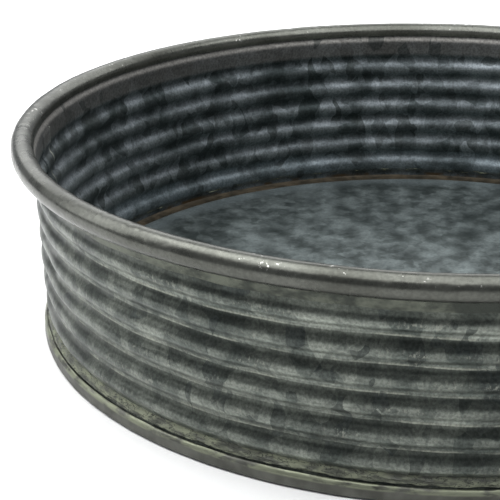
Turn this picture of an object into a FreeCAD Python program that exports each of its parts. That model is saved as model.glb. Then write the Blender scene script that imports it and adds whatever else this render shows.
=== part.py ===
import FreeCAD, Part
import math
import os

# Round galvanised sheet-steel oil drain pan.
# Units are millimetres.  +Z is up, the origin is on the ground at the middle of the foot,
# and -Y is the side a person standing in front of the pan sees.

# ---- overall size -------------------------------------------------------
RIM_OUTER_R = 210.0        # outermost point of the rolled rim
PAN_HEIGHT = 102.0         # ground to the top of the rolled rim
SHEET = 0.6                # wall, floor and rim sheet thickness
WALL_TAPER = 2.2           # the wall leans outward by this many degrees

# ---- rolled rim hoop ----------------------------------------------------
BEAD_R = 5.6               # outside radius of the rolled bead
LIP_BOTTOM = 95.2          # lower edge of the hoop's lip, inside the wall
APRON_BOTTOM = 83.5        # lower edge of the hoop's apron, outside the wall
APRON_BEND_R = 0.8         # bend between bead and apron
WIRE_R = 3.2               # stiffening wire that lies in the rolled bead
WIRE_GAP = 0.05            # thin gap between wire and rolled strip
FIT_GAP = 0.03             # gap between wall and rim hoop on each side

# ---- corrugated wall ----------------------------------------------------
WALL_BOTTOM = 1.35         # cut edge of the wall, held in the foot seam
WALL_TOP = 96.2            # upper edge, clinched inside the rim hoop
RIB_COUNT = 6              # ribs pressed outward round the wall
RIB_PITCH = 12.4           # distance between neighbouring ribs
RIB_DEPTH = 2.3            # how far a groove lies inside a rib
TOP_RIB = 79.2             # height of the highest rib
NECK_RECESS = 1.2          # the plain neck above it lies this far inside the rib
NECK_RECESS_LENGTH = 4.0   # height over which it steps in
NECK_BEND_R = 60.0         # slow bend that brings the neck upright
NECK_FLARE = 1.47          # the neck flares out by this to meet the rim hoop
NECK_FLARE_BOTTOM = 90.9   # where the flare starts
NECK_FLARE_LENGTH = 4.2    # height over which it flares

# ---- lapped side seam ---------------------------------------------------
SEAM_ANGLE = 181.0         # where the wall strip's two ends overlap
LAP_WIDTH = 14.0           # overlap along the wall
LAP_BOTTOM = 4.75          # the overlap is trimmed clear of the floor solder
LAP_TOP = 90.5             # and stops below the flare
SOLDER_W = 1.6             # solder run along the free edge of the overlap
SOLDER_LOW = 0.15          # the run is this much thinner than the lap

# ---- floor and foot seam ------------------------------------------------
FLOOR_Z = 3.5              # top of the floor sheet
FLOOR_FLAT_R = 189.6       # flat part of the floor
DISH_ANGLE = 40.0          # slope of the floor's edge down to the foot
DISH_OUTER_BEND = 2.0      # bend from floor to slope
DISH_INNER_BEND = 1.2      # bend from slope to foot
FOOT_CLEARANCE = 0.15      # gap between wall and turned-up foot
FOOT_BEND_R = 0.9          # inside radius of the foot bend
HEM_TOP = 7.3              # top of the folded foot hem
HEM_WIDTH = 2.1            # across the folded hem, inner face to outer face
HEM_TIP_R = 0.68           # outside radius of the fold at its top
HEM_LEAN = 29.0            # the hem's pressed shoulder leans outward by this
HEM_SHOULDER_R = 1.2       # bend from the shoulder down to the upright skirt
HEM_BOTTOM = 0.85          # cut edge of the skirt

os.makedirs("parts", exist_ok=True)

LIP_FACE_R = RIM_OUTER_R - 2.0 * BEAD_R       # inner face of the hoop's lip
NECK_FACE_R = LIP_FACE_R + SHEET + FIT_GAP    # inner face of the wall's neck
APRON_FACE_R = NECK_FACE_R - NECK_FLARE + 2.0 * SHEET + FIT_GAP
BEAD_Z = PAN_HEIGHT - BEAD_R                  # height of the middle of the bead
BEAD_MID_R = RIM_OUTER_R - BEAD_R             # radius of the middle of the bead
LEAN = math.radians(WALL_TAPER)


def point(r, z):
    return FreeCAD.Vector(r, 0.0, z)


def turn(vector, degrees):
    """Turn a direction in the R-Z plane, anticlockwise positive."""
    a = math.radians(degrees)
    x = vector[0] * math.cos(a) - vector[1] * math.sin(a)
    z = vector[0] * math.sin(a) + vector[1] * math.cos(a)
    return (x, z)


def ribbon(start, heading, steps, thickness):
    """Closed section of a sheet that follows a path.

    The path is the face on the left of the travel; the sheet lies to its right.
    A step is ("line", length) or ("arc", radius of the left face, degrees).
    """
    here = start
    way = heading
    left = []
    right = []
    first_right = None
    for step in steps:
        normal = (way[1], -way[0])
        twin = (here[0] + normal[0] * thickness, here[1] + normal[1] * thickness)
        if first_right is None:
            first_right = twin
        if step[0] == "line":
            nxt = (here[0] + way[0] * step[1], here[1] + way[1] * step[1])
            nxt_twin = (twin[0] + way[0] * step[1], twin[1] + way[1] * step[1])
            left.append(Part.LineSegment(point(*here), point(*nxt)).toShape())
            right.append(Part.LineSegment(point(*twin), point(*nxt_twin)).toShape())
            here = nxt
            continue
        radius, angle = step[1], step[2]
        side = -1.0 if angle > 0 else 1.0
        centre = (here[0] + normal[0] * radius * side, here[1] + normal[1] * radius * side)
        for face, store in ((here, left), (twin, right)):
            arm = (face[0] - centre[0], face[1] - centre[1])
            mid = turn(arm, angle / 2.0)
            end = turn(arm, angle)
            store.append(Part.Arc(point(*face),
                                  point(centre[0] + mid[0], centre[1] + mid[1]),
                                  point(centre[0] + end[0], centre[1] + end[1])).toShape())
            if store is left:
                nxt = (centre[0] + end[0], centre[1] + end[1])
        here = nxt
        way = turn(way, angle)
    normal = (way[1], -way[0])
    last_right = (here[0] + normal[0] * thickness, here[1] + normal[1] * thickness)
    caps = [Part.LineSegment(point(*here), point(*last_right)).toShape(),
            Part.LineSegment(point(*first_right), point(*start)).toShape()]
    edges = Part.__sortEdges__(left + right + caps)
    return Part.Face(Part.Wire(edges))


def outline(points):
    loop = [point(r, z) for r, z in points]
    loop.append(loop[0])
    return Part.Face(Part.makePolygon(loop))


def spin(face, degrees=360.0, start=0.0):
    solid = face.revolve(FreeCAD.Vector(0, 0, 0), FreeCAD.Vector(0, 0, 1), degrees)
    solid.rotate(FreeCAD.Vector(0, 0, 0), FreeCAD.Vector(0, 0, 1), start)
    return solid


def s_bend(depth, length):
    """Two equal bends that step the face inward by depth over a length."""
    swing = 2.0 * math.degrees(math.atan(depth / length))
    both = length / math.sin(math.radians(swing))
    return [("arc", (both - SHEET) / 2.0, swing),
            ("arc", (both + SHEET) / 2.0, -swing)]


def wall_steps():
    """Wall face from its lower edge up through every rib to the upright neck."""
    plain = (TOP_RIB - WALL_BOTTOM) / math.cos(LEAN) - RIB_COUNT * RIB_PITCH
    inward = s_bend(RIB_DEPTH, RIB_PITCH / 2.0)
    outward = [("arc", inward[1][1], inward[1][2]), ("arc", inward[0][1], inward[0][2])]
    steps = [("line", plain)]
    for _ in range(RIB_COUNT):
        steps += inward + outward
    steps += s_bend(NECK_RECESS, NECK_RECESS_LENGTH)
    steps.append(("arc", NECK_BEND_R, WALL_TAPER))
    return steps


def inset_steps(steps, inset):
    """The same path moved to the left by inset."""
    moved = []
    for step in steps:
        if step[0] == "arc":
            grow = -inset if step[2] > 0 else inset
            moved.append(("arc", step[1] + grow, step[2]))
        else:
            moved.append(step)
    return moved


def path_end(start, heading, steps):
    """Where a path of lines and bends finishes."""
    here, way = start, heading
    for step in steps:
        if step[0] == "line":
            here = (here[0] + way[0] * step[1], here[1] + way[1] * step[1])
            continue
        radius, angle = step[1], step[2]
        side = -1.0 if angle > 0 else 1.0
        arm = (-way[1] * radius * side, way[0] * radius * side)
        swung = turn(arm, angle)
        here = (here[0] - arm[0] + swung[0], here[1] - arm[1] + swung[1])
        way = turn(way, angle)
    return here


# ---- wall strip: plain foot, ribs and plain neck in one sheet ------------
up_the_wall = (math.sin(LEAN), math.cos(LEAN))
ribs_and_neck = wall_steps()
reach = path_end((0.0, WALL_BOTTOM), up_the_wall, ribs_and_neck)
FOOT_FACE_R = NECK_FACE_R - NECK_FLARE - reach[0]
wall_start = (FOOT_FACE_R, WALL_BOTTOM)
flare = s_bend(NECK_FLARE, NECK_FLARE_LENGTH)
wall_path = ribs_and_neck + [("line", NECK_FLARE_BOTTOM - reach[1]),
                             ("arc", flare[1][1], flare[1][2]),
                             ("arc", flare[0][1], flare[0][2]),
                             ("line", WALL_TOP - NECK_FLARE_BOTTOM - NECK_FLARE_LENGTH)]
wall = spin(ribbon(wall_start, up_the_wall, wall_path, SHEET))


def lap_section(thickness):
    """Section of a second sheet that lies against the inside of the wall."""
    first = LAP_BOTTOM - WALL_BOTTOM
    start = (FOOT_FACE_R + up_the_wall[0] * first - up_the_wall[1] * thickness,
             WALL_BOTTOM + up_the_wall[1] * first + up_the_wall[0] * thickness)
    steps = inset_steps(ribs_and_neck, thickness)
    steps[0] = ("line", steps[0][1] - first)
    top = path_end(start, up_the_wall, steps)[1]
    steps.append(("line", LAP_TOP - top))
    return ribbon(start, up_the_wall, steps, thickness)


# ---- rim hoop: lip inside the neck, rolled bead, apron outside the neck ---
hoop_path = [("line", BEAD_Z - LIP_BOTTOM),
             ("arc", BEAD_R, -90.0),
             ("arc", BEAD_R, -90.0),
             ("arc", BEAD_R, -90.0),
             ("line", BEAD_MID_R - APRON_FACE_R - APRON_BEND_R),
             ("arc", APRON_BEND_R, 90.0),
             ("line", BEAD_Z - BEAD_R - APRON_BEND_R - APRON_BOTTOM)]
rim_hoop = spin(ribbon((LIP_FACE_R, LIP_BOTTOM), (0.0, 1.0), hoop_path, SHEET))

# The far end of the strip laps inside the near end and is soldered down.
lap_degrees = math.degrees(LAP_WIDTH / NECK_FACE_R)
wall = wall.fuse(spin(lap_section(SHEET), lap_degrees, SEAM_ANGLE))

# Solder run in the corner between the lapped end and the wall.
solder_degrees = math.degrees(SOLDER_W / NECK_FACE_R)
seam_solder = spin(lap_section(SHEET - SOLDER_LOW), solder_degrees,
                   SEAM_ANGLE - solder_degrees)

# ---- rim wire: lies on the bottom of the rolled bead ---------------------
wire_z = BEAD_Z - (BEAD_R - SHEET - WIRE_R - WIRE_GAP)
rim_wire = Part.makeTorus(BEAD_MID_R, WIRE_R, FreeCAD.Vector(0, 0, wire_z),
                          FreeCAD.Vector(0, 0, 1))

# ---- base: floor sheet, dished edge, foot bend and folded hem ------------
foot_inner_r = FOOT_FACE_R + SHEET + FOOT_CLEARANCE + math.tan(LEAN) * (HEM_TOP - WALL_BOTTOM)
foot_floor_z = SHEET
sin_dish = math.sin(math.radians(DISH_ANGLE))
cos_dish = math.cos(math.radians(DISH_ANGLE))
bend_drop = (DISH_OUTER_BEND + DISH_INNER_BEND) * (1.0 - cos_dish)
slope_length = (FLOOR_Z - foot_floor_z - bend_drop) / sin_dish
bend_reach = (DISH_OUTER_BEND + DISH_INNER_BEND) * sin_dish
foot_start = FLOOR_FLAT_R + bend_reach + slope_length * cos_dish
sin_lean = math.sin(math.radians(HEM_LEAN))
cos_lean = math.cos(math.radians(HEM_LEAN))
shoulder = (HEM_WIDTH - HEM_TIP_R * (1.0 + cos_lean)
            - HEM_SHOULDER_R * (1.0 - cos_lean)) / sin_lean
skirt_top = (HEM_TOP - HEM_TIP_R * (1.0 - sin_lean) - shoulder * cos_lean
             - HEM_SHOULDER_R * sin_lean)
base_path = [("line", FLOOR_FLAT_R),
             ("arc", DISH_OUTER_BEND, -DISH_ANGLE),
             ("line", slope_length),
             ("arc", DISH_INNER_BEND, DISH_ANGLE),
             ("line", foot_inner_r - FOOT_BEND_R - foot_start),
             ("arc", FOOT_BEND_R, 90.0),
             ("line", HEM_TOP - HEM_TIP_R - foot_floor_z - FOOT_BEND_R),
             ("arc", HEM_TIP_R, HEM_LEAN - 180.0),
             ("line", shoulder),
             ("arc", HEM_SHOULDER_R, -HEM_LEAN),
             ("line", skirt_top - HEM_BOTTOM)]
base = spin(ribbon((0.0, FLOOR_Z), (1.0, 0.0), base_path, SHEET))

# ---- solder runs that make the two seams tight ---------------------------
foot = FOOT_FACE_R
dish = FLOOR_FLAT_R + 1.0
inner_run = spin(outline([(dish, 0.4), (dish, 3.3), (foot - 2.7, 3.45),
                          (foot - 1.2, 3.85), (foot - 0.1, 4.55),
                          (foot + 0.4, 4.55), (foot + 0.4, 0.4)]))
inner_run = inner_run.cut(base).cut(wall)
outer_run = spin(outline([(foot - 2.2, 7.8), (foot + 1.3, 7.8), (foot + 1.3, 8.5),
                          (foot + 0.9, 9.6), (foot + 0.1, 10.8), (foot - 0.9, 11.8),
                          (foot - 2.2, 12.5)]))
outer_run = outer_run.cut(wall)


def outermost(shape):
    """The ring that reaches furthest out, read from its section's corners."""
    return max(shape.Solids, key=lambda ring: max(v.Point.x for v in ring.Vertexes))


inner_solder = max(inner_run.Solids, key=lambda ring: ring.Volume)
outer_solder = outermost(outer_run)

nodes = {
    "side_wall": wall,
    "rim_hoop": rim_hoop,
    "seam_solder": seam_solder,
    "rim_wire": rim_wire,
    "base_disc": base,
    "floor_solder": inner_solder,
    "foot_solder": outer_solder,
}
for name, shape in nodes.items():
    box = shape.BoundBox
    print(name, "solids", len(shape.Solids), "valid", shape.isValid(),
          "volume", round(shape.Volume, 1),
          "z", round(box.ZMin, 3), round(box.ZMax, 3), "r", round(box.XMax, 3))
    shape.exportStep("parts/" + name + ".step")
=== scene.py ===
import math

import bpy
from mathutils import Matrix, Vector, noise


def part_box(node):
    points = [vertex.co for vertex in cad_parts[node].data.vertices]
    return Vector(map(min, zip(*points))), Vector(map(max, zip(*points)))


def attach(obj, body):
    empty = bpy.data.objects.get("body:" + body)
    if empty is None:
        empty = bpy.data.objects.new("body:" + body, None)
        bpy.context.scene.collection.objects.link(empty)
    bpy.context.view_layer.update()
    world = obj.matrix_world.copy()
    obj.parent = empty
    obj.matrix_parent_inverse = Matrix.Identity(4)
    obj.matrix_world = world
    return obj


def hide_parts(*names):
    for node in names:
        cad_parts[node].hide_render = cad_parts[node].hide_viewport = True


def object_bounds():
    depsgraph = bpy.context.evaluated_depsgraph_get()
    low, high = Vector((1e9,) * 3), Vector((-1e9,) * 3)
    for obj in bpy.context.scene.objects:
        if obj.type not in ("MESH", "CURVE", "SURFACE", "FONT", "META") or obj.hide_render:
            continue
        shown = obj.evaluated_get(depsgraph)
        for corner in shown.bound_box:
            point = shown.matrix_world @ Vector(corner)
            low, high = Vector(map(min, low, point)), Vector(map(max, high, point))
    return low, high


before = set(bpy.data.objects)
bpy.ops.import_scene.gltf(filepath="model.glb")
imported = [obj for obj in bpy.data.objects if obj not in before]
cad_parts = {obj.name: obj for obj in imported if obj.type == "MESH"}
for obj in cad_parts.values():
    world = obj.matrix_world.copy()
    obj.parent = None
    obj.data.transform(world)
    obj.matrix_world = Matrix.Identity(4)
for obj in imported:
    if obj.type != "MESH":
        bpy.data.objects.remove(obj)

# Round galvanised oil drain pan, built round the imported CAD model.
# Sections are worked out in millimetres, as a radius and a height, and spun into
# meshes in metres.  Azimuth is counted from +X towards +Y; -Y faces the viewer.

CAD_BOX = [list(corner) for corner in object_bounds()]
MM = 0.001
RIM_R = CAD_BOX[1][0]


def node_box(node):
    """(radius, lowest height, highest height) of a CAD node, in millimetres."""
    low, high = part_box(node)
    return high[0] / MM, low[2] / MM, high[2] / MM


HOOP_R, APRON_BOTTOM, HOOP_TOP = node_box("rim_hoop")
NECK_OUT_R, WALL_BOTTOM, WALL_TOP = node_box("side_wall")
HEM_OUT_R, _, HEM_TOP = node_box("base_disc")
FOOT_RUN_R, FOOT_RUN_LOW, FOOT_RUN_TOP = node_box("foot_solder")
FLOOR_RUN_R, _, FLOOR_RUN_TOP = node_box("floor_solder")

# ---- sheet and seams, in millimetres ---------------------------------------
SHEET = 0.6
FIT_GAP = 0.03
BEAD_R = 5.6
LIP_BOTTOM = 95.2
APRON_BEND_R = 0.8
WALL_TAPER = math.radians(2.2)
RIB_COUNT = 6
RIB_PITCH = 12.4
RIB_DEPTH = 2.3
TOP_RIB = 79.2
RIB_TILT = 1.2          # the ribs stand this much lower in front and higher at the back
NECK_RECESS = 1.2
NECK_RECESS_LENGTH = 4.0
NECK_BEND_R = 60.0
NECK_FLARE = 1.47
NECK_FLARE_BOTTOM = 90.9
NECK_FLARE_LENGTH = 4.2
LAP_BOTTOM = 4.75
LAP_TOP = 90.5
SEAM_ANGLE = 181.0
LAP_WIDTH = 14.0
FLOOR_Z = 3.5
FLOOR_FLAT_R = 189.6
DISH_ANGLE = 40.0
DISH_OUTER_BEND = 2.0
DISH_INNER_BEND = 1.2
FOOT_BEND_R = 0.9
HEM_WIDTH = 2.1
HEM_TIP_R = 0.68
HEM_LEAN = math.radians(29.0)
HEM_SHOULDER_R = 1.2
HEM_BOTTOM = 0.85

BEAD_Z = HOOP_TOP - BEAD_R
WALL_EDGE_Z = WALL_BOTTOM + SHEET * math.sin(WALL_TAPER)
LIP_FACE_R = HOOP_R - 2.0 * BEAD_R
NECK_FACE_R = LIP_FACE_R + SHEET + FIT_GAP
APRON_FACE_R = NECK_FACE_R - NECK_FLARE + 2.0 * SHEET + FIT_GAP


# ---- sections ----------------------------------------------------------------
def turned(vector, angle):
    """A direction turned anticlockwise, seen with the radius to the right."""
    c, s = math.cos(angle), math.sin(angle)
    return (vector[0] * c - vector[1] * s, vector[0] * s + vector[1] * c)


def sheet_faces(start, heading, steps, thickness, spacing):
    """Points of both faces of a sheet whose left face follows lines and bends."""
    here, way = start, heading
    normal = (way[1], -way[0])
    left = [here]
    right = [(here[0] + normal[0] * thickness, here[1] + normal[1] * thickness)]
    for step in steps:
        normal = (way[1], -way[0])
        if step[0] == "line":
            parts = max(1, math.ceil(step[1] / spacing))
            stops = [(step[1] * i / parts, 0.0) for i in range(1, parts + 1)]
        else:
            bend = math.radians(step[2])
            parts = max(3, math.ceil(abs(bend) * max(step[1], thickness) / spacing))
            stops = [(0.0, bend * i / parts) for i in range(1, parts + 1)]
            side = -1.0 if bend > 0 else 1.0
            centre = (here[0] + normal[0] * step[1] * side, here[1] + normal[1] * step[1] * side)
        for run, swing in stops:
            if step[0] == "line":
                spot, out = (here[0] + way[0] * run, here[1] + way[1] * run), normal
            else:
                out = turned(normal, swing)
                spot = (centre[0] - out[0] * step[1] * side, centre[1] - out[1] * step[1] * side)
            left.append(spot)
            right.append((spot[0] + out[0] * thickness, spot[1] + out[1] * thickness))
        way = turned(way, stops[-1][1])
        here = left[-1]
    return left, right


def s_bend(depth, length):
    """Two equal bends that step the face inward by depth over a length."""
    swing = 2.0 * math.degrees(math.atan(depth / length))
    both = length / math.sin(math.radians(swing))
    return [("arc", (both - SHEET) / 2.0, swing), ("arc", (both + SHEET) / 2.0, -swing)]


def wall_faces(spacing):
    """Inner and outer face of the corrugated wall, foot to upper edge."""
    heading = (math.sin(WALL_TAPER), math.cos(WALL_TAPER))
    plain = (TOP_RIB - WALL_EDGE_Z) / math.cos(WALL_TAPER) - RIB_COUNT * RIB_PITCH
    inward = s_bend(RIB_DEPTH, RIB_PITCH / 2.0)
    steps = [("line", plain)]
    for _ in range(RIB_COUNT):
        steps += inward + [("arc", inward[1][1], inward[1][2]), ("arc", inward[0][1], inward[0][2])]
    steps += s_bend(NECK_RECESS, NECK_RECESS_LENGTH)
    steps.append(("arc", NECK_BEND_R, math.degrees(WALL_TAPER)))
    inner, _ = sheet_faces((0.0, WALL_EDGE_Z), heading, steps, SHEET, spacing)
    start = (NECK_FACE_R - NECK_FLARE - inner[-1][0], WALL_EDGE_Z)
    flare = s_bend(NECK_FLARE, NECK_FLARE_LENGTH)
    steps += [("line", NECK_FLARE_BOTTOM - inner[-1][1]),
              ("arc", flare[1][1], flare[1][2]), ("arc", flare[0][1], flare[0][2]),
              ("line", WALL_TOP - NECK_FLARE_BOTTOM - NECK_FLARE_LENGTH)]
    return sheet_faces(start, heading, steps, SHEET, spacing)


# ---- unevenness --------------------------------------------------------------
def ring_noise(angle, z, wide, tall, seed):
    """Smooth noise round the pan; wide and tall are its grain in millimetres."""
    spot = Vector((math.cos(angle) * HOOP_R / wide, math.sin(angle) * HOOP_R / wide, z / tall + seed * 17.3))
    return noise.noise(spot)


def fade(value, low, high):
    """0 at low, 1 at high, eased in between."""
    t = min(1.0, max(0.0, (value - low) / (high - low)))
    return t * t * (3.0 - 2.0 * t)


# azimuth, height, half width, half height and depth of knocks in the wall
WALL_DENTS = (
    (205.0, 49.0, 11.0, 7.0, 1.5),
    (212.0, 30.0, 16.0, 8.0, 0.7),
    (236.0, 60.0, 18.0, 6.0, 0.5),
    (262.0, 36.0, 20.0, 7.0, 0.5),
    (287.0, 52.0, 15.0, 6.0, 0.5),
    (318.0, 40.0, 18.0, 9.0, 0.8),
    (12.0, 58.0, 16.0, 8.0, 0.9),
    (74.0, 35.0, 20.0, 8.0, 0.7),
    (98.0, 62.0, 16.0, 7.0, 0.6),
    (131.0, 44.0, 18.0, 9.0, 0.9),
)


def seam_gap(angle):
    """Millimetres along the wall from the lapped seam's free edge, signed."""
    off = (math.degrees(angle) - SEAM_ANGLE + 180.0) % 360.0 - 180.0
    return math.radians(off) * NECK_FACE_R


def wall_warp(angle, r, z, j):
    """Waves, knocks and the tilt of the ribs; the lapped seam and the ends stay put."""
    calm = fade(z, 8.0, 16.0) * (1.0 - fade(z, 74.0, 82.0))
    calm *= fade(abs(seam_gap(angle) - LAP_WIDTH / 2.0), LAP_WIDTH * 0.6, LAP_WIDTH * 2.0)
    dr = 0.5 * ring_noise(angle, z, 60.0, 40.0, 1) + 0.28 * ring_noise(angle, z, 16.0, 9.0, 2)
    dz = 0.7 * ring_noise(angle, z, 70.0, 30.0, 3) + 0.25 * ring_noise(angle, z, 18.0, 14.0, 4)
    for azimuth, height, wide, tall, depth in WALL_DENTS:
        off = (math.degrees(angle) - azimuth + 180.0) % 360.0 - 180.0
        u = math.radians(off) * r / wide
        v = (z - height) / tall
        if u * u + v * v < 6.0:
            dr -= depth * math.exp(-(u * u + v * v))
            dz -= 0.6 * depth * v * math.exp(-(u * u + v * v))
    level = RIB_TILT * math.sin(angle) * fade(z, 6.0, 14.0) * (1.0 - fade(z, 83.0, 88.0))
    return dr * calm, dz * calm + level


def hoop_warp(angle, r, z, j):
    """Ragged lip and apron edges, and a bead a little out of round with small nicks."""
    edge = 1.0 - fade(z, APRON_BOTTOM, APRON_BOTTOM + 2.0)
    dz = edge * 0.45 * (ring_noise(angle, 0.0, 22.0, 10.0, 5) + 0.5)
    lip = (1.0 - fade(r, LIP_FACE_R + 0.7, LIP_FACE_R + 1.5)) * (1.0 - fade(z, LIP_BOTTOM, LIP_BOTTOM + 1.5))
    dz += lip * 0.4 * (ring_noise(angle, 0.0, 18.0, 10.0, 6) + 0.5)
    bead = fade(r, NECK_OUT_R + 1.0, NECK_OUT_R + 3.0)
    top = fade(z, BEAD_Z + 1.0, HOOP_TOP)
    swell = ring_noise(angle, z, 34.0, 20.0, 7) + 0.4 * ring_noise(angle, z, 9.0, 8.0, 8)
    dr = -0.16 * bead * (1.0 + swell)
    dz -= 0.14 * top * (1.0 + swell)
    knock = ring_noise(angle, z, 3.2, 2.4, 9) * (0.5 + 0.5 * ring_noise(angle, 0.0, 30.0, 9.0, 10))
    dent = fade(knock, 0.16, 0.34)
    dz -= 0.22 * dent * top
    dr -= 0.16 * dent * bead * (1.0 - top)
    return dr, dz


def base_warp(angle, r, z, j):
    """A beaten, slightly sagging floor, and a hem rolled unevenly."""
    flat = 1.0 - fade(r, FLOOR_FLAT_R - 8.0, FLOOR_FLAT_R - 1.0)
    x, y = r * math.cos(angle), r * math.sin(angle)
    sag = noise.noise(Vector((x / 90.0, y / 90.0, 1.7)))
    beat = noise.noise(Vector((x / 11.0, y / 11.0, 4.1))) + 0.5 * noise.noise(Vector((x / 5.5, y / 5.5, 8.2)))
    dz = flat * (0.35 * sag + 0.09 * beat)
    hem = fade(r, HEM_OUT_R - 2.3, HEM_OUT_R - 1.4) * fade(z, 0.3, 1.2)
    roll = ring_noise(angle, 0.0, 26.0, 9.0, 11) + 0.5 * ring_noise(angle, z, 8.0, 5.0, 12)
    dr = -0.3 * hem * (0.8 + roll)
    dz -= hem * fade(z, HEM_TOP - 2.0, HEM_TOP) * 0.35 * (0.8 + ring_noise(angle, 0.0, 15.0, 9.0, 13))
    skirt = hem * (1.0 - fade(z, 0.85, 2.2))
    dz += skirt * 0.3 * ring_noise(angle, 0.0, 20.0, 9.0, 14)
    return dr, dz


def foot_run_warp(angle, r, z, j):
    """Folds and runs in the solder outside."""
    proud = fade(r, FOOT_RUN_R - 3.2, FOOT_RUN_R - 1.4)
    fold = abs(ring_noise(angle, z, 7.0, 1.1, 15)) + 0.6 * abs(ring_noise(angle, z, 2.6, 0.8, 16))
    low = ring_noise(angle, 0.0, 24.0, 9.0, 17)
    dr = -proud * (0.15 + 1.1 * fold + 0.25 * low)
    edge = 1.0 - fade(z, FOOT_RUN_LOW, FOOT_RUN_LOW + 1.0)
    dz = -0.3 * edge * (ring_noise(angle, 0.0, 9.0, 9.0, 18) - 0.4)
    return dr, dz


def floor_run_warp(angle, r, z, j):
    """Lumps in the solder inside."""
    lump = ring_noise(angle, 0.0, 13.0, 9.0, 19) + 0.5 * ring_noise(angle, z, 4.0, 3.0, 20)
    rise = fade(z, 2.5, 3.2)
    return -0.5 * lump * rise, 0.45 * lump * rise


# ---- meshes --------------------------------------------------------------
def ring_angles(count, extra=()):
    """Even angles round the pan, with the extra ones in place of any too close to them."""
    plain = [2.0 * math.pi * i / count for i in range(count)]
    keep = [a for a in plain if all(abs(a - e) > 0.3 * 2.0 * math.pi / count for e in extra)]
    return sorted(keep + list(extra))


def spin_mesh(name, node, loop, angles, warp, marks=None, poles=False, crease=40.0):
    """Spins a closed section, or one that starts and ends on the axis, into a piece."""
    verts, faces, values = [], [], []
    body = loop[1:-1] if poles else loop
    size = len(body)
    for angle in angles:
        c, s = math.cos(angle), math.sin(angle)
        for j, (r, z) in enumerate(body):
            dr, dz = warp(angle, r, z, j)
            far, high = (r + dr) * MM, (z + dz) * MM
            verts.append((far * c, far * s, high))
            values.append(marks[j] if marks else 0.0)
    turns = len(angles)
    last = size - 1 if poles else size
    for i in range(turns):
        a, b = i * size, ((i + 1) % turns) * size
        for j in range(last):
            k = (j + 1) % size
            faces.append((a + j, b + j, b + k, a + k))
    if poles:
        for end, j, flip in ((loop[0], 0, False), (loop[-1], size - 1, True)):
            dr, dz = warp(0.0, 0.0, end[1], 0)
            tip = len(verts)
            verts.append((0.0, 0.0, (end[1] + dz) * MM))
            values.append(0.0)
            for i in range(turns):
                a, b = i * size + j, ((i + 1) % turns) * size + j
                faces.append((tip, a, b) if flip else (tip, b, a))
    mesh = bpy.data.meshes.new(name)
    mesh.from_pydata(verts, [], faces)
    mesh.attributes.new("mark", "FLOAT", "POINT").data.foreach_set("value", values)
    mesh.polygons.foreach_set("use_smooth", [True] * len(mesh.polygons))
    mesh.set_sharp_from_angle(angle=math.radians(crease))
    mesh.validate()
    piece = bpy.data.objects.new(name, mesh)
    bpy.context.scene.collection.objects.link(piece)
    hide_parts(node)
    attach(piece, "root")
    return piece


def flipped(loop):
    return list(reversed(loop))


def build_wall():
    inner, outer = wall_faces(0.9)
    lap_end = math.radians(SEAM_ANGLE) + LAP_WIDTH / NECK_FACE_R
    lap_start = math.radians(SEAM_ANGLE)
    nick = 0.15 / NECK_FACE_R
    angles = ring_angles(600, (lap_start - nick, lap_start + nick, lap_end - nick, lap_end + nick))
    loop = inner + flipped(outer)
    count = len(inner)
    slopes = []
    for j in range(len(loop)):
        a, b = loop[max(0, j - 1)], loop[min(len(loop) - 1, j + 1)]
        dx, dy = b[0] - a[0], b[1] - a[1]
        far = math.hypot(dx, dy) or 1.0
        slopes.append((dy / far, -dx / far))

    def warp(angle, r, z, j):
        dr, dz = wall_warp(angle, r, z, j)
        if j < count and lap_start < angle < lap_end:
            lap = fade(z, LAP_BOTTOM, LAP_BOTTOM + 1.0) * (1.0 - fade(z, LAP_TOP - 1.0, LAP_TOP))
            dr -= slopes[j][0] * SHEET * lap
            dz -= slopes[j][1] * SHEET * lap
        return dr, dz

    marks = [0.0] * count + [1.0] * count
    return spin_mesh("wall_sheet", "side_wall", loop, angles, warp, marks)


def build_hoop():
    steps = [("line", BEAD_Z - LIP_BOTTOM), ("arc", BEAD_R, -270.0),
             ("line", HOOP_R - BEAD_R - APRON_FACE_R - APRON_BEND_R),
             ("arc", APRON_BEND_R, 90.0),
             ("line", BEAD_Z - BEAD_R - APRON_BEND_R - APRON_BOTTOM)]
    skin, back = sheet_faces((LIP_FACE_R, LIP_BOTTOM), (0.0, 1.0), steps, SHEET, 0.8)
    return spin_mesh("rolled_rim", "rim_hoop", flipped(skin + flipped(back)),
                     ring_angles(900), hoop_warp)


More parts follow.
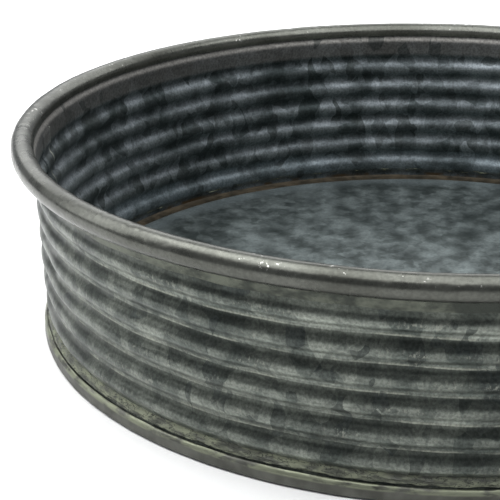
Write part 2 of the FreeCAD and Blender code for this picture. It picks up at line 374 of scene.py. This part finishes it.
def build_base():
    foot_inner_r = HEM_OUT_R - HEM_WIDTH
    sin_lean, cos_lean = math.sin(HEM_LEAN), math.cos(HEM_LEAN)
    shoulder = (HEM_WIDTH - HEM_TIP_R * (1.0 + cos_lean) - HEM_SHOULDER_R * (1.0 - cos_lean)) / sin_lean
    skirt_top = HEM_TOP - HEM_TIP_R * (1.0 - sin_lean) - shoulder * cos_lean - HEM_SHOULDER_R * sin_lean
    sin_dish, cos_dish = math.sin(math.radians(DISH_ANGLE)), math.cos(math.radians(DISH_ANGLE))
    bend_drop = (DISH_OUTER_BEND + DISH_INNER_BEND) * (1.0 - cos_dish)
    slope = (FLOOR_Z - SHEET - bend_drop) / sin_dish
    foot_start = FLOOR_FLAT_R + (DISH_OUTER_BEND + DISH_INNER_BEND) * sin_dish + slope * cos_dish
    steps = [("line", FLOOR_FLAT_R), ("arc", DISH_OUTER_BEND, -DISH_ANGLE), ("line", slope),
             ("arc", DISH_INNER_BEND, DISH_ANGLE),
             ("line", foot_inner_r - FOOT_BEND_R - foot_start), ("arc", FOOT_BEND_R, 90.0),
             ("line", HEM_TOP - HEM_TIP_R - SHEET - FOOT_BEND_R),
             ("arc", HEM_TIP_R, math.degrees(HEM_LEAN) - 180.0), ("line", shoulder),
             ("arc", HEM_SHOULDER_R, -math.degrees(HEM_LEAN)), ("line", skirt_top - HEM_BOTTOM)]
    top, under = sheet_faces((0.0, FLOOR_Z), (1.0, 0.0), steps, SHEET, 0.8)
    # the flat floor needs fewer rings than its folded edge
    keep = [j for j, (r, z) in enumerate(top)
            if r > FLOOR_FLAT_R - 6.0 or j % 3 == 0]
    top, under = [top[j] for j in keep], [under[j] for j in keep]
    loop = flipped(top + flipped(under))
    marks = [1.0 if r > FLOOR_FLAT_R + 4.0 else 0.0 for r, z in loop[1:-1]]
    return spin_mesh("floor_sheet", "base_disc", loop, ring_angles(600), base_warp,
                     marks, poles=True)


def build_runs():
    """The two solder runs, a little into the sheets they wet."""
    inner, outer = wall_faces(0.9)
    back = [(r - 0.05, z) for r, z in outer if FOOT_RUN_LOW - 0.4 < z < FOOT_RUN_TOP]
    foot = FOOT_RUN_R - 1.3
    low = FOOT_RUN_LOW
    front = [(foot + 1.3, low), (foot + 1.3, low + 0.35), (foot + 1.3, low + 0.7), (foot + 1.1, low + 1.25),
             (foot + 0.9, low + 1.8), (foot + 0.5, low + 2.4), (foot + 0.1, low + 3.0),
             (foot - 0.4, low + 3.5), (foot - 0.9, low + 4.0)]
    loop = flipped(front) + [(foot + 0.8, low)] + back
    outer_run = spin_mesh("foot_bead", "foot_solder", loop, ring_angles(900),
                          foot_run_warp)
    run = FLOOR_RUN_R - 0.4
    start = FLOOR_FLAT_R + 1.0
    top = FLOOR_RUN_TOP
    loop = [(start, 3.0), (start + 1.6, 1.3), (run - 1.6, 0.65), (run + 0.2, 0.65), (run + 0.2, top - 0.2),
            (run - 0.1, top), (run - 0.6, top - 0.35), (run - 1.2, top - 0.7), (run - 2.0, top - 0.95),
            (run - 2.7, top - 1.1), (run - 4.0, top - 1.18), (start, 3.32)]
    inner_run = spin_mesh("floor_bead", "floor_solder", loop, ring_angles(600),
                          floor_run_warp)
    return outer_run, inner_run


# ---- materials -----------------------------------------------------------
class Maker:
    """Adds nodes to one material; a value may be a number, a tuple or a socket."""

    def __init__(self, name, metallic):
        self.mat = bpy.data.materials.new(name)
        self.mat.use_nodes = True
        self.tree = self.mat.node_tree
        self.shader = self.tree.nodes["Principled BSDF"]
        self.shader.inputs["Metallic"].default_value = metallic
        self.place = self.add("ShaderNodeTexCoord").outputs["Object"]

    def add(self, kind, inputs=None, **settings):
        node = self.tree.nodes.new(kind)
        for key, value in settings.items():
            setattr(node, key, value)
        for key, value in (inputs or {}).items():
            self.put(node.inputs[key], value)
        return node

    def put(self, socket, value):
        if isinstance(value, bpy.types.NodeSocket):
            self.tree.links.new(value, socket)
        elif isinstance(value, tuple) and socket.type == "RGBA" and len(value) == 3:
            socket.default_value = (*value, 1.0)
        else:
            socket.default_value = value

    def math(self, operation, a, b=0.0):
        return self.add("ShaderNodeMath", {0: a, 1: b}, operation=operation).outputs[0]

    def stretch(self, x, y, z):
        """The coordinates scaled; more than 1 squeezes a pattern along that axis."""
        node = self.add("ShaderNodeMapping", {"Vector": self.place, "Scale": (x, y, z)})
        return node.outputs[0]

    def noise(self, scale, detail=3.0, rough=0.5, vector=None):
        node = self.add("ShaderNodeTexNoise", {"Vector": vector or self.place, "Scale": scale,
                                               "Detail": detail, "Roughness": rough})
        return node.outputs[0]

    def shake(self, amount, scale, vector=None):
        """The coordinates moved about by noise, so that patches lose their straight edges."""
        spot = vector or self.place
        push = self.add("ShaderNodeTexNoise", {"Vector": spot, "Scale": scale, "Detail": 2.0})
        away = self.add("ShaderNodeVectorMath", {0: push.outputs[1], 1: (0.5, 0.5, 0.5)},
                        operation="SUBTRACT")
        grown = self.add("ShaderNodeVectorMath", {0: away.outputs[0], "Scale": amount},
                         operation="SCALE")
        return self.add("ShaderNodeVectorMath", {0: spot, 1: grown.outputs[0]},
                        operation="ADD").outputs[0]

    def cells(self, scale, vector):
        """Two random shades, each even over one patch."""
        node = self.add("ShaderNodeTexVoronoi", {"Vector": vector, "Scale": scale})
        shade = self.add("ShaderNodeSeparateColor", {0: node.outputs["Color"]})
        return shade.outputs[0], shade.outputs[1]

    def remap(self, value, a, b, c=0.0, d=1.0):
        """Value eased from a..b to c..d, and held at the ends."""
        node = self.add("ShaderNodeMapRange", {"Value": value, "From Min": a, "From Max": b,
                                               "To Min": c, "To Max": d})
        node.interpolation_type = "SMOOTHSTEP"
        return node.outputs[0]

    def blend(self, factor, a, b, mode="MIX"):
        node = self.tree.nodes.new("ShaderNodeMix")
        node.data_type = "RGBA"
        node.blend_type = mode
        self.put(node.inputs[0], factor)
        self.put(node.inputs[6], a)
        self.put(node.inputs[7], b)
        return node.outputs[2]

    def mark(self):
        """1 on the outside of the wall and on the foot, 0 elsewhere."""
        return self.add("ShaderNodeAttribute", attribute_name="mark").outputs["Fac"]

    def height(self):
        """Height above the ground, in millimetres."""
        parts = self.add("ShaderNodeSeparateXYZ", {0: self.place})
        return self.math("MULTIPLY", parts.outputs[2], 1000.0)

    def radius(self):
        """Distance from the pan's axis, in millimetres."""
        parts = self.add("ShaderNodeSeparateXYZ", {0: self.place})
        across = self.math("MULTIPLY", parts.outputs[0], parts.outputs[0])
        along = self.math("MULTIPLY", parts.outputs[1], parts.outputs[1])
        return self.math("MULTIPLY", self.math("POWER", self.math("ADD", across, along), 0.5), 1000.0)

    def finish(self, colour, rough, bump=None, strength=0.3, distance=0.0002):
        self.put(self.shader.inputs["Base Color"], colour)
        self.put(self.shader.inputs["Roughness"], rough)
        if bump is not None:
            node = self.add("ShaderNodeBump", {"Height": bump, "Strength": strength,
                                               "Distance": distance})
            self.put(self.shader.inputs["Normal"], node.outputs[0])
        return self.mat


# where painted light and shade on the wall follow its ribs: millimetres below a crest, and the tints of the
# painted shade on the ledge and the painted light on the flank
BAND_BELOW_CREST = 7.6
LEDGE_BELOW_CREST = 4.6
RIBS_BELOW_GROUND = 20.0       # keeps the count of ribs above zero everywhere
LEDGE_PAINTED_SHADE = (0.44, 0.45, 0.44)
FLANK_PAINTED_LIGHT = (1.7, 1.7, 1.7)


def rib_turns(m, high, start):
    """Number of rib pitches above a height."""
    return m.math("DIVIDE", m.math("SUBTRACT", high, start), RIB_PITCH)


def wall_zinc():
    m = Maker("spangled_zinc", 0.85)
    outside = m.mark()
    high = m.height()
    tall = m.shake(0.007, 70.0, m.stretch(1.0, 1.0, 0.6))
    pale, odd = m.cells(150.0, tall)
    pale_big, odd_big = m.cells(80.0, m.shake(0.012, 50.0, m.stretch(1.0, 1.0, 0.7)))
    cloud = m.noise(22.0, 4.0, 0.6)
    smear = m.noise(55.0, 4.0, 0.6, m.stretch(1.0, 1.0, 1.6))
    tone = m.math("ADD", m.math("MULTIPLY", pale, 0.22), m.math("MULTIPLY", pale_big, 0.22))
    tone = m.math("ADD", tone, m.math("MULTIPLY", cloud, 0.5))
    tone = m.math("ADD", tone, m.math("MULTIPLY", smear, 0.7))
    tone = m.remap(tone, 0.55, 1.1)
    inside_colour = m.blend(tone, (0.028, 0.036, 0.036), (0.150, 0.168, 0.176))
    outside_colour = m.blend(tone, (0.054, 0.063, 0.057), (0.168, 0.182, 0.160))
    # painted light and shade that follow the ribs: a band from each groove up over the rib keeps the zinc's
    # colour, and the ledge above it is darkened as painted shade
    wobble = m.remap(m.noise(14.0, 2.0, 0.5), 0.3, 0.7, -0.05, 0.05)
    place = m.math("ADD", rib_turns(m, high, TOP_RIB - BAND_BELOW_CREST), wobble)
    place = m.math("FRACT", m.math("ADD", place, RIBS_BELOW_GROUND))
    band = m.math("MULTIPLY", m.remap(place, 0.0, 0.05), m.remap(place, 0.84, 0.50))
    painted_shade = m.blend(1.0, outside_colour, LEDGE_PAINTED_SHADE, "MULTIPLY")
    outside_colour = m.blend(band, painted_shade, outside_colour)
    # painted light: part of the flank inside the band is lifted in colour against the shade it falls in
    flank = m.math("MULTIPLY", m.remap(place, 0.08, 0.16), m.remap(place, 0.48, 0.34))
    outside_colour = m.blend(flank, outside_colour, m.blend(1.0, outside_colour, FLANK_PAINTED_LIGHT, "MULTIPLY"))
    # painted highlight: a thin pale line along the lower edge of each band, broken up by noise
    edge = m.math("MULTIPLY", m.remap(place, 0.01, 0.04), m.remap(place, 0.13, 0.05))
    edge = m.math("MULTIPLY", edge, m.remap(m.noise(60.0, 3.0), 0.42, 0.6))
    outside_colour = m.blend(m.math("MULTIPLY", edge, 0.7), outside_colour, (0.24, 0.25, 0.21))
    # painted highlight: inside, a band below each crest is made a little paler and bluer
    ledge = rib_turns(m, high, TOP_RIB - LEDGE_BELOW_CREST)
    ledge = m.math("FRACT", m.math("ADD", ledge, RIBS_BELOW_GROUND))
    ledge = m.math("MULTIPLY", m.remap(ledge, 0.0, 0.16), m.remap(ledge, 0.62, 0.36))
    inside_colour = m.blend(ledge, m.blend(1.0, inside_colour, (1.0, 1.02, 1.0), "MULTIPLY"),
                            m.blend(1.0, inside_colour, (1.05, 1.05, 1.08), "MULTIPLY"))
    colour = m.blend(outside, inside_colour, outside_colour)
    inner = m.math("SUBTRACT", 1.0, outside)
    # painted light: inside, the neck and the flare under the bead are lightened to warm greys against the
    # shade under the bead
    neck = m.math("MULTIPLY", m.remap(high, 81.5, 85.0), inner)
    colour = m.blend(m.math("MULTIPLY", neck, 0.7), colour, (0.118, 0.114, 0.107))
    flare = m.math("MULTIPLY", m.remap(high, 91.0, 92.5), inner)
    colour = m.blend(m.math("MULTIPLY", flare, 0.8), colour, (0.170, 0.165, 0.155))
    # painted highlight: low inside the wall, cloudy patches are paler and bluer
    low = m.math("MULTIPLY", m.remap(high, 22.0, 18.0), m.remap(cloud, 0.35, 0.6))
    low = m.math("MULTIPLY", low, inner)
    colour = m.blend(m.math("MULTIPLY", low, 0.6), colour, (0.165, 0.200, 0.220))
    patch = m.math("MULTIPLY", m.remap(odd, 0.76, 0.88), m.remap(odd_big, 0.35, 0.5))
    colour = m.blend(m.math("MULTIPLY", patch, 0.6), colour, (0.028, 0.034, 0.033))
    grain = m.remap(m.noise(800.0, 2.0, 0.6), 0.3, 0.7, 0.75, 1.3)
    colour = m.blend(1.0, colour, grain, "MULTIPLY")
    # rubbed, speckled zinc on the ribs outside
    speck = m.remap(m.noise(650.0, 3.0, 0.7, m.stretch(1.0, 1.0, 0.6)), 0.52, 0.66)
    zone = m.remap(m.noise(38.0, 3.0), 0.45, 0.62)
    rub = m.math("MULTIPLY", m.math("MULTIPLY", speck, band), m.math("MULTIPLY", zone, outside))
    colour = m.blend(m.math("MULTIPLY", rub, 0.55), colour, (0.27, 0.28, 0.24))
    rust = m.math("MULTIPLY", m.remap(high, 7.2, 5.2), m.remap(m.noise(60.0, 3.0), 0.46, 0.64))
    rust = m.math("MULTIPLY", rust, m.math("SUBTRACT", 1.0, outside))
    colour = m.blend(rust, colour, (0.090, 0.062, 0.034))
    rough = m.remap(m.noise(120.0, 3.0), 0.3, 0.7, 0.36, 0.50)
    rough = m.math("ADD", rough, m.math("MULTIPLY", m.math("SUBTRACT", 1.0, outside), 0.18))
    return m.finish(colour, rough, m.noise(260.0, 4.0, 0.6), 0.35, 0.0002)


def rim_zinc():
    m = Maker("worn_rim_zinc", 0.9)
    cloud = m.noise(22.0, 3.0)
    colour = m.blend(m.remap(cloud, 0.3, 0.7), (0.058, 0.060, 0.052), (0.096, 0.099, 0.088))
    grain = m.remap(m.noise(700.0, 2.0, 0.6), 0.3, 0.7, 0.85, 1.15)
    colour = m.blend(1.0, colour, grain, "MULTIPLY")
    # painted light: the inner side of the bead is lightened against the shade there
    inner = m.math("MULTIPLY", m.remap(m.radius(), 203.0, 200.5), m.remap(m.height(), 99.0, 96.0))
    colour = m.blend(inner, colour, m.blend(1.0, colour, (1.9, 1.85, 1.75), "MULTIPLY"))
    # the apron under the bead is darkened: partly painted shade from the bead above, partly mottled stains
    apron = m.remap(m.height(), 91.2, 90.2)
    stain = m.remap(m.noise(48.0, 4.0, 0.65, m.stretch(1.0, 1.0, 1.8)), 0.40, 0.60)
    apron_colour = m.blend(stain, (0.020, 0.024, 0.021), (0.082, 0.090, 0.072))
    colour = m.blend(m.math("MULTIPLY", apron, 0.9), colour, apron_colour)
    speck = m.remap(m.noise(420.0, 3.0, 0.6), 0.62, 0.68)
    area = m.remap(m.noise(34.0, 2.0), 0.5, 0.62)
    nick = m.math("MULTIPLY", m.math("MULTIPLY", speck, area), m.remap(m.height(), 97.5, 100.0))
    colour = m.blend(nick, colour, (0.5, 0.5, 0.47))
    rough = m.remap(m.noise(90.0, 3.0), 0.3, 0.7, 0.24, 0.34)
    return m.finish(colour, rough, m.noise(300.0, 4.0, 0.6), 0.18, 0.0002)


def floor_zinc():
    m = Maker("mottled_floor_zinc", 0.75)
    edge = m.mark()
    spot = m.shake(0.010, 80.0)
    pale, _ = m.cells(170.0, spot)
    cloud = m.noise(26.0, 4.0, 0.6)
    fine = m.noise(84.0, 4.0, 0.62)
    tone = m.math("ADD", m.math("MULTIPLY", pale, 0.2), m.math("MULTIPLY", cloud, 0.8))
    tone = m.math("ADD", tone, m.math("MULTIPLY", fine, 1.2))
    tone = m.remap(tone, 0.8, 1.45)
    colour = m.blend(tone, (0.036, 0.046, 0.045), (0.158, 0.186, 0.186))
    # paler and bluer towards the edge of the floor, with a cloudy boundary
    pale_edge = m.remap(m.math("ADD", m.radius(), m.math("MULTIPLY", cloud, 16.0)), 182.0, 196.0)
    colour = m.blend(m.math("MULTIPLY", pale_edge, 0.7), colour, (0.205, 0.245, 0.255))
    grain = m.remap(m.noise(600.0, 2.0, 0.6), 0.3, 0.7, 0.85, 1.15)
    colour = m.blend(1.0, colour, grain, "MULTIPLY")
    skirt = m.blend(m.remap(m.noise(90.0, 3.0), 0.3, 0.7), (0.070, 0.071, 0.062), (0.125, 0.128, 0.112))
    flat = m.stretch(1.0, 1.0, 3.2)
    bloom = m.remap(m.noise(90.0, 4.0, 0.6, flat), 0.38, 0.55)
    bloom = m.math("MULTIPLY", m.remap(m.height(), 4.4, 5.6), bloom)
    skirt = m.blend(bloom, skirt, (0.200, 0.214, 0.155))
    colour = m.blend(edge, colour, skirt)
    rough = m.remap(m.noise(80.0, 3.0), 0.3, 0.7, 0.36, 0.52)
    return m.finish(colour, rough, m.noise(110.0, 3.0, 0.55), 0.5, 0.0008)


def plain_zinc(name, dark, light, rough_low, rough_high, scale=90.0, metallic=0.7):
    m = Maker(name, metallic)
    colour = m.blend(m.remap(m.noise(scale, 4.0, 0.6), 0.3, 0.7), dark, light)
    rough = m.remap(m.noise(scale * 2.0, 3.0), 0.3, 0.7, rough_low, rough_high)
    return m.finish(colour, rough, m.noise(scale * 3.0, 3.0), 0.3, 0.0002)


def foot_solder_look():
    m = Maker("bloomed_solder", 0.35)
    flat = m.stretch(1.0, 1.0, 3.2)
    tone = m.remap(m.noise(110.0, 4.0, 0.6, m.shake(0.006, 90.0, flat)), 0.35, 0.65)
    colour = m.blend(tone, (0.056, 0.060, 0.048), (0.200, 0.216, 0.152))
    crack = m.remap(m.noise(170.0, 3.0, 0.6, flat), 0.47, 0.5, 0.0, 1.0)
    line = m.math("MULTIPLY", crack, m.remap(m.noise(170.0, 3.0, 0.6, flat), 0.53, 0.5))
    colour = m.blend(line, colour, (0.02, 0.022, 0.018))
    return m.finish(colour, m.remap(tone, 0.0, 1.0, 0.45, 0.65), m.noise(400.0, 4.0, 0.6, flat),
                    0.5, 0.0003)


def show_cad(node, mat):
    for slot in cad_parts[node].material_slots:
        slot.material = mat


# ---- studio --------------------------------------------------------------
FLOOR_REACH = 12.0             # metres from the middle to each edge
FLOOR_DROP = 0.0002            # below the foot, so that the two never share a plane
FLOOR_GREY = (0.8, 0.8, 0.8, 1)
SKY_COLOUR = (0.92, 0.96, 1.0, 1)
SKY_STRENGTH = 0.3
CAMERA_ELEVATION = 23.744
CAMERA_DISTANCE = 3.6087       # in rim radii, to the middle of the foot
CAMERA_LENS = 103.465
CAMERA_PAN = 7.179
CAMERA_TILT = 1.7916
CAMERA_ROLL = -2.6549


def add_camera():
    lift = math.radians(CAMERA_ELEVATION)
    spot = Vector((0.0, -math.cos(lift), math.sin(lift))) * CAMERA_DISTANCE * RIM_R
    ahead = -spot.normalized()
    right = Vector((1.0, 0.0, 0.0))
    up = right.cross(ahead)
    pan = Matrix.Rotation(math.radians(CAMERA_PAN), 3, up)
    ahead, right = pan @ ahead, pan @ right
    tilt = Matrix.Rotation(math.radians(CAMERA_TILT), 3, right)
    ahead, up = tilt @ ahead, tilt @ up
    roll = Matrix.Rotation(math.radians(CAMERA_ROLL), 3, ahead)
    right, up = roll @ right, roll @ up
    data = bpy.data.cameras.new("camera")
    data.lens = CAMERA_LENS
    data.sensor_width = 36.0
    data.clip_start = 0.01
    data.clip_end = 100.0
    camera = bpy.data.objects.new("camera", data)
    bpy.context.scene.collection.objects.link(camera)
    turn = Matrix((right, up, -ahead)).transposed().to_4x4()
    camera.matrix_world = Matrix.Translation(spot) @ turn
    bpy.context.scene.camera = camera


def area_light(name, place, target, size, radiance):
    data = bpy.data.lights.new(name, "AREA")
    data.shape = "RECTANGLE"
    data.size = size[0]
    data.size_y = size[1]
    data.energy = radiance * math.pi * size[0] * size[1]
    light = bpy.data.objects.new(name, data)
    bpy.context.scene.collection.objects.link(light)
    aim = (Vector(target) - Vector(place)).to_track_quat("-Z", "Y")
    light.matrix_world = Matrix.Translation(place) @ aim.to_matrix().to_4x4()


def add_studio():
    mesh = bpy.data.meshes.new("studio_floor")
    far = FLOOR_REACH
    corners = [(-far, -far, 0), (far, -far, 0), (far, far, 0), (-far, far, 0)]
    mesh.from_pydata(corners, [], [(0, 1, 2, 3)])
    floor = bpy.data.objects.new("studio_floor", mesh)
    floor.location.z = -FLOOR_DROP
    bpy.context.scene.collection.objects.link(floor)
    mat = bpy.data.materials.new("pale_floor")
    mat.use_nodes = True
    shader = mat.node_tree.nodes["Principled BSDF"]
    shader.inputs["Base Color"].default_value = FLOOR_GREY
    shader.inputs["Roughness"].default_value = 0.95
    shader.inputs["Specular IOR Level"].default_value = 0.1
    mesh.materials.append(mat)
    world = bpy.data.worlds.new("world")
    bpy.context.scene.world = world
    world.use_nodes = True
    world.node_tree.nodes["Background"].inputs["Color"].default_value = SKY_COLOUR
    world.node_tree.nodes["Background"].inputs["Strength"].default_value = SKY_STRENGTH
    area_light("key", (0.0, -0.22, 1.25), (0.0, -0.22, 0.0), (1.9, 1.5), 3.8)
    area_light("back_panel", (-0.1, 0.95, 0.62), (-0.1, 0.75, 0.0), (2.2, 0.8), 2.2)
    area_light("left_panel", (-0.95, 0.0, 0.6), (-0.72, 0.0, 0.0), (0.6, 1.5), 3.0)
    bpy.context.scene.view_settings.view_transform = "Standard"


add_camera()
add_studio()

build_wall().data.materials.append(wall_zinc())
build_hoop().data.materials.append(rim_zinc())
build_base().data.materials.append(floor_zinc())
foot_run, floor_run = build_runs()
foot_run.data.materials.append(foot_solder_look())
floor_run.data.materials.append(
    plain_zinc("rusty_solder", (0.032, 0.028, 0.020), (0.080, 0.064, 0.042), 0.45, 0.65))
show_cad("seam_solder", plain_zinc("seam_solder", (0.10, 0.11, 0.10), (0.22, 0.23, 0.2), 0.4, 0.6))
show_cad("rim_wire", plain_zinc("drawn_wire", (0.2, 0.2, 0.2), (0.3, 0.3, 0.3), 0.35, 0.5))
